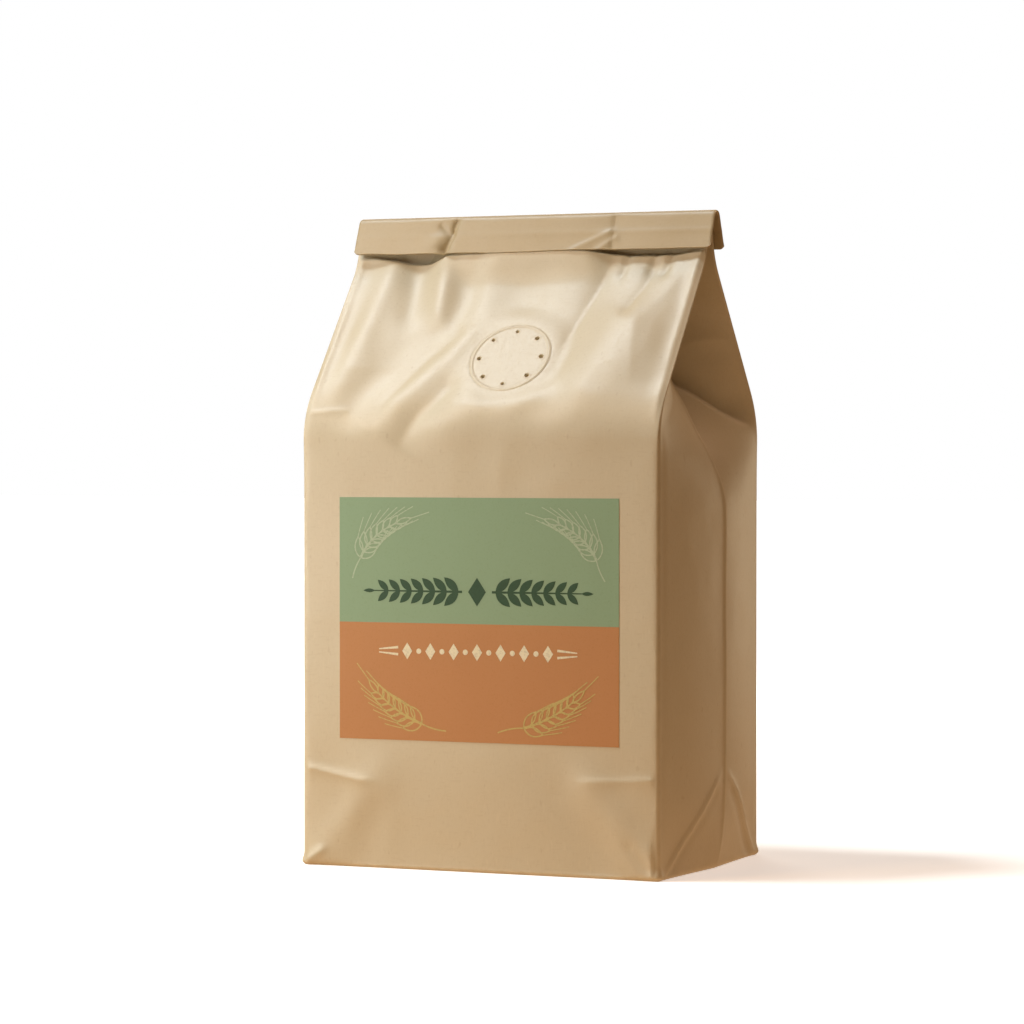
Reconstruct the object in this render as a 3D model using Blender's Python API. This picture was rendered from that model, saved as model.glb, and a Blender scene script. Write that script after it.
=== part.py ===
"""A block-bottomed paper bag of flour: folded-in sides, a folded strip over the closed top, a label and a valve.

Metres, +Z up, the labelled front towards -Y. The origin is the middle of the flat base.
"""

import math

import bmesh
import bpy
from mathutils import Matrix, Vector

MM = 0.001

# Driving dimensions of the bag.
BAG_WIDTH = 120.0 * MM
BAG_DEPTH = 85.0 * MM
SHOULDER_HEIGHT = 140.0 * MM  # the front and back start to lean together here
NECK_HEIGHT = 189.0 * MM  # and turn almost upright here, under the strip
BAG_TOP = 200.5 * MM
TOTAL_HEIGHT = 204.0 * MM

LEAN = 0.79  # metres inwards for each metre up, between shoulder and neck
NECK_LEAN = 0.17
SHOULDER_BLEND = 8.0 * MM  # half the height over which a bend turns
NECK_BLEND = 5.0 * MM
FOLD_RADIUS = 0.45 * MM  # round of the folds at the four upright corners
BASE_ROUND = 1.2 * MM

# The sides: a centre crease bulges out low down and tucks in towards the neck.
SIDE_BULGE = 5.0 * MM
SIDE_BULGE_AT_BASE = 2.0 * MM
BASE_FADE = 9.0 * MM  # height over which the bulge grows from the base
TUCK_HEIGHT = 118.0 * MM  # the centre crease starts to go in here
TUCK_LEAN = 0.55
TUCK_BLEND = 8.0 * MM
BULGE_POWER = 1.4
VALLEY_LOW = 138.0 * MM  # the slanting fold starts at the corner at this height
VALLEY_HIGH = 156.0 * MM  # and meets the centre crease here
VALLEY_DEPTH = 2.0 * MM
VALLEY_WIDTH = 5.0 * MM

# The folded strip over the top.
STRIP_LEFT = -60.2 * MM
STRIP_RIGHT = 62.3 * MM
STRIP_EDGE = 192.2 * MM  # height of the flaps' lower edges
STRIP_SPREAD = 5.9 * MM  # half the distance between the flaps at their edges
STRIP_THICKNESS = 0.8 * MM
STRIP_TURN = 2.0 * MM  # radius of the fold along its top

# The label and the valve.
LABEL_WIDTH = 94.0 * MM
LABEL_BOTTOM = 40.0 * MM
LABEL_TOP = 115.0 * MM
LABEL_THICKNESS = 0.25 * MM
VALVE_RADIUS = 13.0 * MM
VALVE_THICKNESS = 0.5 * MM
VALVE_RIM = 0.3 * MM  # how far the rim stands over the disc
VALVE_RIM_WIDTH = 1.1 * MM
VALVE_X = 4.7 * MM
VALVE_HEIGHT = 157.8 * MM
PINHOLES = 8
PINHOLE_CIRCLE = 10.4 * MM
PINHOLE_RADIUS = 0.5 * MM
GAP = 0.3 * MM  # between pieces that touch

PANEL_STEPS = 10
SIDE_STEPS = 8
CORNER_STEPS = 3
STRIP_TURN_STEPS = 8
VALVE_STEPS = 48
PINHOLE_STEPS = 10
HALF_TURN = math.pi
QUARTER_TURN = math.pi / 2


def linear(channel):
    """A display value from 0 to 255 as the linear value that a shader takes."""
    share = channel / 255
    return share / 12.92 if share <= 0.04045 else ((share + 0.055) / 1.055) ** 2.4


def material(name, red, green, blue, roughness):
    made = bpy.data.materials.new(name)
    made.use_nodes = True
    shader = made.node_tree.nodes["Principled BSDF"]
    shader.inputs["Base Color"].default_value = (linear(red), linear(green), linear(blue), 1.0)
    shader.inputs["Roughness"].default_value = roughness
    shader.inputs["Metallic"].default_value = 0.0
    return made


def object_from(name, mesh_builder, finish):
    """Turns a bmesh into a named object with its material."""
    bmesh.ops.recalc_face_normals(mesh_builder, faces=mesh_builder.faces)
    mesh = bpy.data.meshes.new(name)
    mesh_builder.to_mesh(mesh)
    mesh_builder.free()
    made = bpy.data.objects.new(name, mesh)
    bpy.context.scene.collection.objects.link(made)
    mesh.materials.append(finish)
    return made


def ramp(distance, blend):
    """Zero before a bend and the distance past it after, turning smoothly within blend of the bend."""
    if distance <= -blend:
        return 0.0
    if distance >= blend:
        return distance
    return (distance + blend) ** 2 / (4 * blend)


def half_depth(z):
    """From the bag's middle to its front or back panel at height z."""
    lean = LEAN * ramp(z - SHOULDER_HEIGHT, SHOULDER_BLEND)
    return BAG_DEPTH / 2 - lean + (LEAN - NECK_LEAN) * ramp(z - NECK_HEIGHT, NECK_BLEND)


def crease_x(z):
    """From the bag's middle to the centre crease of its sides at height z."""
    bulge = SIDE_BULGE - (SIDE_BULGE - SIDE_BULGE_AT_BASE) * math.exp(-z / BASE_FADE)
    return BAG_WIDTH / 2 + bulge - TUCK_LEAN * ramp(z - TUCK_HEIGHT, TUCK_BLEND)


def valley(share, z):
    """Depth of the slanting fold at height z, a share of the way from the corner to the centre crease."""
    fold = VALLEY_LOW + (VALLEY_HIGH - VALLEY_LOW) * share
    return VALLEY_DEPTH * math.sin(HALF_TURN * share) * math.exp(-(((z - fold) / VALLEY_WIDTH) ** 2))


def quarter(z):
    """Points of one quarter of the bag's section, from the front panel's middle to the centre crease."""
    depth = half_depth(z)
    centre = Vector((BAG_WIDTH / 2 - FOLD_RADIUS, FOLD_RADIUS - depth))
    crease = Vector((crease_x(z), 0.0))
    heading = math.atan2(depth - FOLD_RADIUS, crease.x - centre.x)
    points = []
    for step in range(PANEL_STEPS // 2):
        points.append(Vector((centre.x * 2 * step / PANEL_STEPS, -depth)))
    for step in range(CORNER_STEPS + 1):
        angle = heading * step / CORNER_STEPS - QUARTER_TURN
        points.append(centre + FOLD_RADIUS * Vector((math.cos(angle), math.sin(angle))))
    corner = points[-1]
    for step in range(1, SIDE_STEPS):
        share = step / SIDE_STEPS
        bulged = share**BULGE_POWER if crease.x > corner.x else share
        across = corner.x + (crease.x - corner.x) * bulged - valley(share, z)
        points.append(Vector((across, corner.y * (1 - share))))
    points.append(crease)
    return points


def section(z, inset):
    """The bag's whole outline at height z, counter-clockwise from above and drawn in by inset."""
    front_right = quarter(z)
    back_right = [Vector((p.x, -p.y)) for p in reversed(front_right[:-1])]
    right = front_right + back_right
    left = [Vector((-p.x, p.y)) for p in reversed(right[1:-1])]
    across = 1 - inset / (BAG_WIDTH / 2)
    along = 1 - inset / (BAG_DEPTH / 2)
    return [(p.x * across, p.y * along, z) for p in right + left]


def heights():
    """Heights of the sections, closer together where the paper bends."""
    straight = [BAG_WIDTH * share for share in (0.05, 0.12, 0.25, 0.5, 0.75)]
    first_bend = TUCK_HEIGHT - TUCK_BLEND
    bends = 22
    step = (BAG_TOP - first_bend) / bends
    return [BASE_ROUND] + straight + [first_bend + step * index for index in range(bends + 1)]


def make_bag(finish):
    """Sections joined up the bag, with a flat base."""
    builder = bmesh.new()
    outlines = [section(0.0, BASE_ROUND), section(BASE_ROUND / 3, BASE_ROUND / 3)]
    outlines += [section(z, 0.0) for z in heights()]
    rings = [[builder.verts.new(point) for point in outline] for outline in outlines]
    for lower, upper in zip(rings, rings[1:]):
        for index, vertex in enumerate(lower):
            after = (index + 1) % len(lower)
            builder.faces.new((vertex, lower[after], upper[after], upper[index]))
    builder.faces.new(reversed(rings[0]))
    builder.faces.new(rings[-1])
    return object_from("bag", builder, finish)


def strip_outline(offset):
    """One side of the strip's paper in section, from the front flap's edge over the top to the back's."""
    radius = STRIP_TURN + offset
    middle = TOTAL_HEIGHT - STRIP_TURN - STRIP_THICKNESS / 2
    lean = math.atan2(STRIP_SPREAD - STRIP_TURN, middle - STRIP_EDGE)
    shift = Vector((-offset * math.cos(lean), offset * math.sin(lean)))
    front_edge = Vector((-STRIP_SPREAD, STRIP_EDGE)) + shift
    points = [front_edge]
    sweep = HALF_TURN - 2 * lean
    for step in range(STRIP_TURN_STEPS + 1):
        angle = HALF_TURN - lean - sweep * step / STRIP_TURN_STEPS
        points.append(Vector((radius * math.cos(angle), middle + radius * math.sin(angle))))
    points.append(Vector((-front_edge.x, front_edge.y)))
    return points


def make_strip(finish):
    """A strip of doubled paper folded along the bag's top, its flaps hanging free at the front and back."""
    outside = strip_outline(STRIP_THICKNESS / 2)
    inside = strip_outline(-STRIP_THICKNESS / 2)
    builder = bmesh.new()
    outline = outside + inside[::-1]
    profile = [builder.verts.new((STRIP_LEFT, point.x, point.y)) for point in outline]
    end = builder.faces.new(profile)
    grown = bmesh.ops.extrude_face_region(builder, geom=[end], use_keep_orig=True)
    moved = [item for item in grown["geom"] if isinstance(item, bmesh.types.BMVert)]
    bmesh.ops.translate(builder, verts=moved, vec=(STRIP_RIGHT - STRIP_LEFT, 0.0, 0.0))
    return object_from("top_strip", builder, finish)


def make_label(finish):
    """A thin rectangle of paper on the front panel."""
    builder = bmesh.new()
    size = Vector((LABEL_WIDTH, LABEL_THICKNESS, LABEL_TOP - LABEL_BOTTOM))
    bmesh.ops.create_cube(builder, size=1.0, matrix=Matrix.Diagonal(size.to_4d()))
    label = object_from("label", builder, finish)
    front = -half_depth(LABEL_BOTTOM)
    label.location = (0.0, front - GAP - LABEL_THICKNESS / 2, (LABEL_TOP + LABEL_BOTTOM) / 2)
    return label


def valve_profile():
    """The valve's half section: a thin disc with a raised rim."""
    rim_top = VALVE_THICKNESS + VALVE_RIM
    slope = VALVE_RIM_WIDTH / 3
    return [
        (0.0, 0.0),
        (VALVE_RADIUS, 0.0),
        (VALVE_RADIUS, VALVE_THICKNESS),
        (VALVE_RADIUS - slope, rim_top),
        (VALVE_RADIUS - 2 * slope, rim_top),
        (VALVE_RADIUS - VALVE_RIM_WIDTH, VALVE_THICKNESS),
        (0.0, VALVE_THICKNESS),
    ]


def make_pinhole_cutter():
    """A ring of upright rods where the pinholes go."""
    builder = bmesh.new()
    for index in range(PINHOLES):
        turn = Matrix.Rotation(2 * HALF_TURN * index / PINHOLES, 4, "Z")
        place = turn @ Matrix.Translation((PINHOLE_CIRCLE, 0.0, 0.0))
        bmesh.ops.create_cone(
            builder,
            cap_ends=True,
            segments=PINHOLE_STEPS,
            radius1=PINHOLE_RADIUS,
            radius2=PINHOLE_RADIUS,
            depth=4 * VALVE_THICKNESS,
            matrix=place,
        )
    cutter = object_from("pinhole_cutter", builder, material("guide", 120, 120, 120, 0.5))
    cutter.hide_render = True
    cutter.display_type = "WIRE"
    return cutter


def make_valve(finish):
    """A vent valve: a turned disc with a ring of pinholes, lying on the leaning front panel."""
    builder = bmesh.new()
    line = [builder.verts.new((radius, 0.0, height)) for radius, height in valve_profile()]
    edges = [builder.edges.new(pair) for pair in zip(line, line[1:])]
    bmesh.ops.spin(
        builder,
        geom=line + edges,
        cent=(0.0, 0.0, 0.0),
        axis=(0.0, 0.0, 1.0),
        angle=2 * HALF_TURN,
        steps=VALVE_STEPS,
        use_merge=True,
    )
    bmesh.ops.remove_doubles(builder, verts=builder.verts, dist=0.01 * MM)
    valve = object_from("valve", builder, finish)
    cutter = make_pinhole_cutter()
    holes = valve.modifiers.new("pinholes", "BOOLEAN")
    holes.operation = "DIFFERENCE"
    holes.object = cutter
    tilt = QUARTER_TURN - math.atan(LEAN)
    normal = Vector((0.0, -math.sin(tilt), math.cos(tilt)))
    on_panel = Vector((VALVE_X, -half_depth(VALVE_HEIGHT), VALVE_HEIGHT))
    cutter.parent = valve
    valve.rotation_euler = (tilt, 0.0, 0.0)
    valve.location = on_panel + GAP * normal
    return valve


def main():
    for old in list(bpy.data.objects):
        bpy.data.objects.remove(old, do_unlink=True)
    kraft = material("kraft_paper", 203, 174, 132, 0.78)
    make_bag(kraft)
    make_strip(material("strip_paper", 199, 168, 124, 0.74))
    make_label(material("label_paper", 140, 155, 118, 0.62))
    make_valve(material("valve_paper", 206, 178, 138, 0.76))


main()
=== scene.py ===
"""Looks of the bag of flour: creased kraft paper, a folded top strip, a printed label and a vent valve.

Lengths are in millimetres until a mesh is made. +Z is up and the labelled front faces -Y.
"""

import math

import bpy
import numpy as np
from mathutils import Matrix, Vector


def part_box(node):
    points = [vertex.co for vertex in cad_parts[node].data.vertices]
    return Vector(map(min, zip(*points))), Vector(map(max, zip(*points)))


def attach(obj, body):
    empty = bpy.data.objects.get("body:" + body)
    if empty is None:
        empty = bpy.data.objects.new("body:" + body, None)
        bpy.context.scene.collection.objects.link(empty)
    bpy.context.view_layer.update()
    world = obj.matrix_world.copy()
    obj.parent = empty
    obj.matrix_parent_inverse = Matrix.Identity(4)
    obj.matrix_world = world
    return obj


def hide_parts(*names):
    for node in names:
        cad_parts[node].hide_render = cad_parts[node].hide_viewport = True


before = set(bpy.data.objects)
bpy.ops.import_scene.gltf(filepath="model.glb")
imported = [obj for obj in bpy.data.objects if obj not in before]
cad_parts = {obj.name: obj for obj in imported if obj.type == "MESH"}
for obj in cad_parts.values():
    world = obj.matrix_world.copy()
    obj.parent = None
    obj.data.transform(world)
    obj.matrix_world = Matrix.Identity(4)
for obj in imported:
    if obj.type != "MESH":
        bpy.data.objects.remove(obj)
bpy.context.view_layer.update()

MM = 0.001


def node_box(name):
    """A CAD node's lowest and highest corners in millimetres."""
    low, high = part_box(name)
    return np.array(low) / MM, np.array(high) / MM


_, bag_high = node_box("bag")
strip_low, strip_high = node_box("top_strip")
label_low, label_high = node_box("label")
valve_low, valve_high = node_box("valve")

# The bag's form, the same as its CAD solid's.
SIDE_BULGE = 5.0
SIDE_BULGE_AT_BASE = 2.0
BASE_FADE = 9.0
HALF_WIDTH = bag_high[0] - SIDE_BULGE
HALF_DEPTH = bag_high[1]
BAG_TOP = bag_high[2]
SHOULDER = 140.0
SHOULDER_BLEND = 8.0
NECK = 189.0
NECK_BLEND = 5.0
LEAN = 0.79
NECK_LEAN = 0.17
TUCK = 118.0
TUCK_LEAN = 0.55
TUCK_BLEND = 8.0
VALLEY_LOW = 138.0
VALLEY_HIGH = 156.0

SEAM_EDGE = 9.0  # the free edge of the glued seam down the back

VALVE_X = (valve_low[0] + valve_high[0]) / 2
VALVE_Z = (valve_low[2] + valve_high[2]) / 2
VALVE_RADIUS = (valve_high[0] - valve_low[0]) / 2

# The smoother part of the front, round the label.
CALM_HALF_WIDTH = 47.0
CALM_MIDDLE = 77.5
CALM_HALF_HEIGHT = 37.5


# ---------------------------------------------------------------- shape helpers


def ramp(distance, blend):
    """Zero before a bend and the distance past it after, turning smoothly within blend of the bend."""
    turning = (distance + blend) ** 2 / (4 * blend)
    return np.where(distance <= -blend, 0.0, np.where(distance >= blend, distance, turning))


def smooth_step(value, low, high):
    share = np.clip((value - low) / (high - low), 0.0, 1.0)
    return share * share * (3 - 2 * share)


def ridge(x, z, start, end, width, height):
    """A soft fold along the line from start to end: a bell across it that fades at both ends."""
    along = np.array(end, float) - np.array(start, float)
    length = np.hypot(*along)
    direction = along / length
    dx, dz = x - start[0], z - start[1]
    run = dx * direction[0] + dz * direction[1]
    across = -dx * direction[1] + dz * direction[0]
    past = np.maximum(0.0, np.maximum(-run, run - length))
    return height * np.exp(-((across / width) ** 2)) * np.exp(-((past / (1.5 * width)) ** 2))


def crease(x, z, start, end, width, height, skew=0.5):
    """A sharp fold along a line: it rises straight to the line and drops faster on its far side."""
    along = np.array(end, float) - np.array(start, float)
    length = np.hypot(*along)
    direction = along / length
    dx, dz = x - start[0], z - start[1]
    run = dx * direction[0] + dz * direction[1]
    across = -dx * direction[1] + dz * direction[0]
    reach = np.where(across > 0, width * skew, width)
    fade = smooth_step(run, -0.15 * length, 0.15 * length)
    fade = fade * (1 - smooth_step(run, 0.8 * length, 1.1 * length))
    return height * np.exp(-np.abs(across) / reach) * fade


def fold_line(x, z, path, width, height):
    """A sharp fold along a bent line of points, as high as height (a valley if it is negative)."""
    nearest = np.full(np.shape(x), 1e9)
    reached = np.zeros(np.shape(x))
    length = 0.0
    for start, end in zip(path, path[1:]):
        step = np.array(end, float) - np.array(start, float)
        size = np.hypot(*step)
        run = np.clip(((x - start[0]) * step[0] + (z - start[1]) * step[1]) / size, 0.0, size)
        away = np.hypot(x - start[0] - run * step[0] / size, z - start[1] - run * step[1] / size)
        reached = np.where(away < nearest, length + run, reached)
        nearest = np.minimum(nearest, away)
        length += size
    fade = np.sin(math.pi * np.clip(reached / length, 0.0, 1.0)) ** 0.6
    return height * fade * np.exp(-np.sqrt(nearest**2 + 0.09 * width**2) / width) / math.exp(-0.3)


def dome(x, z, centre, radii, turn, height):
    """A soft round rise, longer one way than the other and turned by an angle in degrees."""
    angle = math.radians(turn)
    dx, dz = x - centre[0], z - centre[1]
    long_way = (dx * math.cos(angle) + dz * math.sin(angle)) / radii[0]
    short_way = (-dx * math.sin(angle) + dz * math.cos(angle)) / radii[1]
    return height * np.exp(-(long_way**2 + short_way**2))


def smooth_noise(x, z, size, seed):
    """Even noise from -1 to 1 with waves about size across."""
    cells = 64
    table = np.random.default_rng(seed).uniform(-1, 1, (cells, cells))
    px, pz = x / size + 1000.0, z / size + 1000.0
    ix, iz = np.floor(px).astype(int), np.floor(pz).astype(int)
    fx, fz = px - ix, pz - iz
    wx, wz = fx * fx * (3 - 2 * fx), fz * fz * (3 - 2 * fz)
    near = table[ix % cells, iz % cells] * (1 - wx) + table[(ix + 1) % cells, iz % cells] * wx
    far = table[ix % cells, (iz + 1) % cells] * (1 - wx) + table[(ix + 1) % cells, (iz + 1) % cells] * wx
    return near * (1 - wz) + far * wz


def wrinkles(x, z, size, seed):
    """Noise with sharp ridge lines, like paper that was crushed and smoothed out."""
    bend_x = x + 0.35 * size * smooth_noise(x, z, 1.7 * size, seed + 1)
    bend_z = z + 0.35 * size * smooth_noise(x, z, 1.7 * size, seed + 2)
    return 1 - 2 * np.abs(smooth_noise(bend_x, bend_z, size, seed))


# ---------------------------------------------------------------- the bag's form


def half_depth(z):
    """From the bag's middle to its front or back panel."""
    lean = LEAN * ramp(z - SHOULDER, SHOULDER_BLEND)
    return HALF_DEPTH - lean + (LEAN - NECK_LEAN) * ramp(z - NECK, NECK_BLEND)


def crease_x(z):
    """From the bag's middle to the centre crease of a side."""
    bulge = SIDE_BULGE - (SIDE_BULGE - SIDE_BULGE_AT_BASE) * np.exp(-z / BASE_FADE)
    return HALF_WIDTH + bulge - TUCK_LEAN * ramp(z - TUCK, TUCK_BLEND)


def fold_radius(z):
    """The upright corners are rounder where the flour fills them."""
    return 1.5 - 1.05 * smooth_step(z, 118.0, 150.0)


def valve_distance(x, z):
    """Distance from the valve's middle, along the leaning panel."""
    return np.hypot(x - VALVE_X, (z - VALVE_Z) * math.hypot(1.0, LEAN))


def panel_relief(x, z, seed):
    """Folds and dents shared by the front and back panels, outwards from the flat panel."""
    relief = 0.10 * wrinkles(x, z, 17.0, seed) + 0.05 * smooth_noise(x, z, 6.0, seed + 5)
    slope = smooth_step(z, 134.0, 150.0) * (1 - smooth_step(z, 183.0, 194.0))
    relief += slope * 0.34 * wrinkles(x, z, 23.0, seed + 9)
    # rolled edges beside the creases of the leaning part
    for side in (-1, 1):
        uneven = slope * (0.8 + 0.5 * smooth_noise(x, z, 9.0, seed + 13))
        relief += uneven * 0.26 * np.exp(-(((x - side * (HALF_WIDTH - 1.9)) / 1.2) ** 2))
        relief -= uneven * 0.18 * np.exp(-(((x - side * (HALF_WIDTH - 5.6)) / 2.6) ** 2))
    # the block bottom pulls a fold up from each corner, under a cross fold
    relief += ridge(x, z, (-54.5, 1.5), (-36.0, 25.5), 6.5, 0.75)
    relief += ridge(x, z, (56.5, 2.5), (38.0, 26.0), 6.0, 0.85)
    relief -= ridge(x, z, (46.0, 3.0), (27.0, 25.0), 8.0, 0.3)
    relief -= ridge(x, z, (-34.0, 7.0), (34.0, 7.0), 11.0, 0.25)
    relief += crease(x, z, (-61.0, 31.4), (-36.0, 27.0), 2.6, 0.85, 0.3)
    relief += crease(x, z, (35.0, 29.4), (61.0, 30.6), 2.4, 0.50, 0.35)
    relief += ridge(x, z, (-60.5, 0.4), (-54.0, 4.2), 1.5, 0.8)
    relief -= ridge(x, z, (51.0, 9.0), (56.5, 2.5), 2.0, 0.35)
    relief += ridge(x, z, (56.5, 9.0), (59.5, 1.0), 1.6, 0.3)
    return relief


def gap_under_strip(x, z):
    """How far the panel falls back behind the strip's loose ends, from nothing to one."""
    left = smooth_step(x, -61.0, -40.0) * (1 - smooth_step(x, -34.0, -24.0))
    right = smooth_step(x, 13.0, 34.0) * (1 - smooth_step(x, 50.0, 62.0))
    start = 191.6 - 2.6 * left - (1.5 + 0.35 * smooth_noise(x, 0 * z, 4.5, 31)) * right
    return (left + 0.75 * right) * smooth_step(z, start - 0.3, start + 1.3)


def slope_relief(x, z):
    """The larger folds of the leaning part, between shoulder and strip."""
    # a broad swell on the right, and a low one under the valve
    relief = dome(x, z, (39.0, 160.5), (20.0, 13.5), 68.0, 2.8)
    relief += dome(x, z, (12.0, 147.0), (14.0, 7.0), 20.0, 0.9)
    # slanting folds on the left
    relief += ridge(x, z, (-16.0, 160.0), (-30.0, 146.0), 6.0, 1.0)
    relief -= ridge(x, z, (-27.0, 166.0), (-42.0, 147.0), 8.0, 1.1)
    upper_fold = [(-14.0, 167.0), (-24.0, 158.0), (-33.0, 146.0), (-38.0, 137.0)]
    lower_fold = [(-6.0, 152.0), (-14.0, 148.5), (-21.0, 141.0), (-27.5, 130.0)]
    relief += fold_line(x, z, upper_fold, 4.5, -1.3)
    relief += fold_line(x, z, lower_fold, 5.0, -1.6)
    relief += dome(x, z, (-8.0, 141.0), (13.0, 7.0), 35.0, 0.8)
    relief += dome(x, z, (-50.0, 156.0), (15.0, 6.0), 74.0, 0.8)
    # short folds that hang from the strip
    relief += ridge(x, z, (-28.5, 189.0), (-25.0, 174.0), 3.8, 1.1)
    relief -= ridge(x, z, (-38.0, 190.0), (-35.5, 175.0), 4.6, 1.1)
    relief -= ridge(x, z, (-18.0, 189.0), (-17.0, 172.0), 5.5, 0.8)
    relief += ridge(x, z, (-46.5, 188.0), (-48.5, 168.0), 4.4, 0.8)
    # the valleys and edges that frame the swell on the right, and pleats under the strip there
    relief += crease(x, z, (17.5, 150.0), (29.0, 188.0), 8.0, -1.6, 0.8)
    relief += crease(x, z, (47.5, 150.0), (42.0, 176.0), 5.0, 0.45, 1.6)
    relief += crease(x, z, (38.5, 171.0), (45.5, 188.0), 5.5, -1.1, 0.8)
    relief += ridge(x, z, (57.0, 187.0), (46.0, 172.0), 4.2, 0.35)
    pleats = (((34.5, 190.0), (33.5, 184.5)), ((43.6, 190.0), (42.8, 185.5)), ((49.5, 190.5), (47.8, 185.0)))
    for start, end in pleats:
        relief -= ridge(x, z, start, end, 1.3, 0.45)
    relief += crease(x, z, (-60.0, 141.0), (-45.5, 142.6), 1.8, 0.45, 0.4)
    relief -= dome(x, z, (2.0, 178.0), (15.0, 8.0), 0.0, 0.9)
    return relief - 2.4 * gap_under_strip(x, z)


def front_relief(x, z):
    """Everything that stands out of the flat front, calmer under the label and flat round the valve."""
    seat = smooth_step(valve_distance(x, z), VALVE_RADIUS + 0.5, VALVE_RADIUS + 9.0)
    relief = (panel_relief(x, z, 11) + slope_relief(x, z)) * seat
    off_label = smooth_step(np.abs(x), CALM_HALF_WIDTH, CALM_HALF_WIDTH + 6.0)
    off_label = off_label + smooth_step(np.abs(z - CALM_MIDDLE), CALM_HALF_HEIGHT, CALM_HALF_HEIGHT + 7.5)
    relief = relief * np.clip(0.35 + off_label, 0.0, 1.0)
    # the middle of the panel comes out to meet the strip
    touch = smooth_step(z, 181.0, 190.5) * (1 - smooth_step(z, 193.0, 199.5))
    return relief + 2.0 * touch * (1 - smooth_step(np.abs(x - 0.5), 19.0, 31.0))


def back_relief(x, z):
    """The back's folds are the front's, the other way round, with the bag's long glued seam."""
    relief = panel_relief(-x, z, 43) + 0.8 * slope_relief(-x, z)
    wander = 0.10 * smooth_noise(0 * x, z, 30.0, 57)
    seam = smooth_step(x - wander, SEAM_EDGE - 0.3, SEAM_EDGE - 0.05) * (1 - smooth_step(x, 14.0, 27.0))
    dip = np.exp(-(((x - SEAM_EDGE + 1.2) / 1.0) ** 2))
    return relief + 0.60 * seam - 0.18 * dip


def side_relief(y, z, seed):
    """Folds of a side, outwards, by distance y behind the bag's middle plane."""
    relief = 0.08 * wrinkles(y, z, 15.0, seed) + 0.04 * smooth_noise(y, z, 5.0, seed + 3)
    relief += 0.35 * wrinkles(0.6 * y, z, 13.0, seed + 7) * smooth_step(z, 150.0, 162.0)
    tucked = smooth_step(z, 116.0, 140.0)
    share = np.clip(1 - np.abs(y) / HALF_DEPTH, 0.0, 1.0)
    # each half swells between its corner and the centre crease
    filled = smooth_step(z, 2.0, 24.0) * (1 - smooth_step(z, 120.0, 146.0))
    relief += 1.7 * np.sin(math.pi * share) * filled
    behind = np.maximum(y, 0.0)
    before = np.maximum(-y, 0.0)
    # the front half laps over the back half along the crease
    drop = (0.65 + 2.4 * tucked) * np.exp(-behind / (3.4 + 5.0 * tucked)) * (1 - np.exp(-behind / 0.22))
    lip = 0.40 * np.exp(-((before / 1.1) ** 2)) * np.where(y <= 0, 1.0, np.exp(-behind / 0.15))
    fade = smooth_step(z, 3.0, 22.0) * (1 - smooth_step(z, 176.0, 190.0))
    relief = relief + fade * (lip - drop)
    for sign in (-1, 1):
        away = sign * y
        near_side = 1 - away / HALF_DEPTH
        sag = 3.0 * np.sin(math.pi * np.clip(near_side, 0, 1))
        fold = VALLEY_LOW + (VALLEY_HIGH - VALLEY_LOW) * near_side - sag
        reach = np.where(z < fold, 2.2, 9.0)
        bell = np.exp(-(((z - fold) / reach) ** 2)) * smooth_step(near_side, 0.0, 0.35)
        bell = bell * (1 - smooth_step(near_side, 0.9, 1.0))
        depth = 2.6 if sign > 0 else 0.3
        relief = relief - depth * np.where(away >= 0, bell, 0.0)
        relief = relief + crease(away, z, (5.5, 28.0), (39.0, 1.0), 2.0, 0.9, 0.4)
        relief = relief - ridge(away, z, (8.0, 23.0), (34.0, 1.0), 2.2, 0.5)
    return relief


# ---------------------------------------------------------------- meshes


def mesh_object(name, points, faces):
    """An object from points in millimetres."""
    mesh = bpy.data.meshes.new(name)
    mesh.from_pydata([tuple(p) for p in np.asarray(points) * MM], [], faces)
    mesh.validate()
    mesh.shade_smooth()
    mesh.set_sharp_from_angle(angle=math.radians(55))
    made = bpy.data.objects.new(name, mesh)
    bpy.context.scene.collection.objects.link(made)
    return made


def grid_faces(rows, columns, closed, first=0):
    """Quads of a grid whose points are stored row by row; closed joins the last column to the first."""
    faces = []
    for row in range(rows - 1):
        for column in range(columns if closed else columns - 1):
            after = (column + 1) % columns
            low, high = first + row * columns, first + (row + 1) * columns
            faces.append((low + column, low + after, high + after, high + column))
    return faces


def grid_normals(grid, closed):
    """Unit normals of a grid of points, rows by columns by three."""
    up = np.gradient(grid, axis=0)
    if closed:
        across = np.roll(grid, -1, axis=1) - np.roll(grid, 1, axis=1)
    else:
        across = np.gradient(grid, axis=1)
    normal = np.cross(across, up)
    size = np.linalg.norm(normal, axis=2, keepdims=True)
    return normal / np.maximum(size, 1e-9)


def bend_of(grid, closed):
    """How sharply a surface bends at each point, in 1/mm: above zero on ridges, below in valleys."""
    normal = grid_normals(grid, closed)
    steps = [(np.gradient(grid, axis=0), np.gradient(normal, axis=0))]
    if closed:
        around = [np.roll(field, -1, axis=1) - np.roll(field, 1, axis=1) for field in (grid, normal)]
        steps.append((around[0], around[1]))
    else:
        steps.append((np.gradient(grid, axis=1), np.gradient(normal, axis=1)))
    bend = np.zeros(grid.shape[:2])
    for moved, turned_by in steps:
        bend += (moved * turned_by).sum(axis=2) / np.maximum((moved**2).sum(axis=2), 1e-6)
    return bend


def store_wear_and_shade(made, bend):
    """Keeps ridges and valleys on the mesh: paler ridges from wear, partly a painted highlight, and darker
    valleys that are painted shade.
    """
    for name, sign in (("ridge", 1), ("valley", -1)):
        values = np.clip(sign * bend, 0.0, 1.0)
        stored = made.data.attributes.new(name, "FLOAT", "POINT")
        padded = np.zeros(len(made.data.vertices))
        padded[: values.size] = values.ravel()
        stored.data.foreach_set("value", padded)


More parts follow.
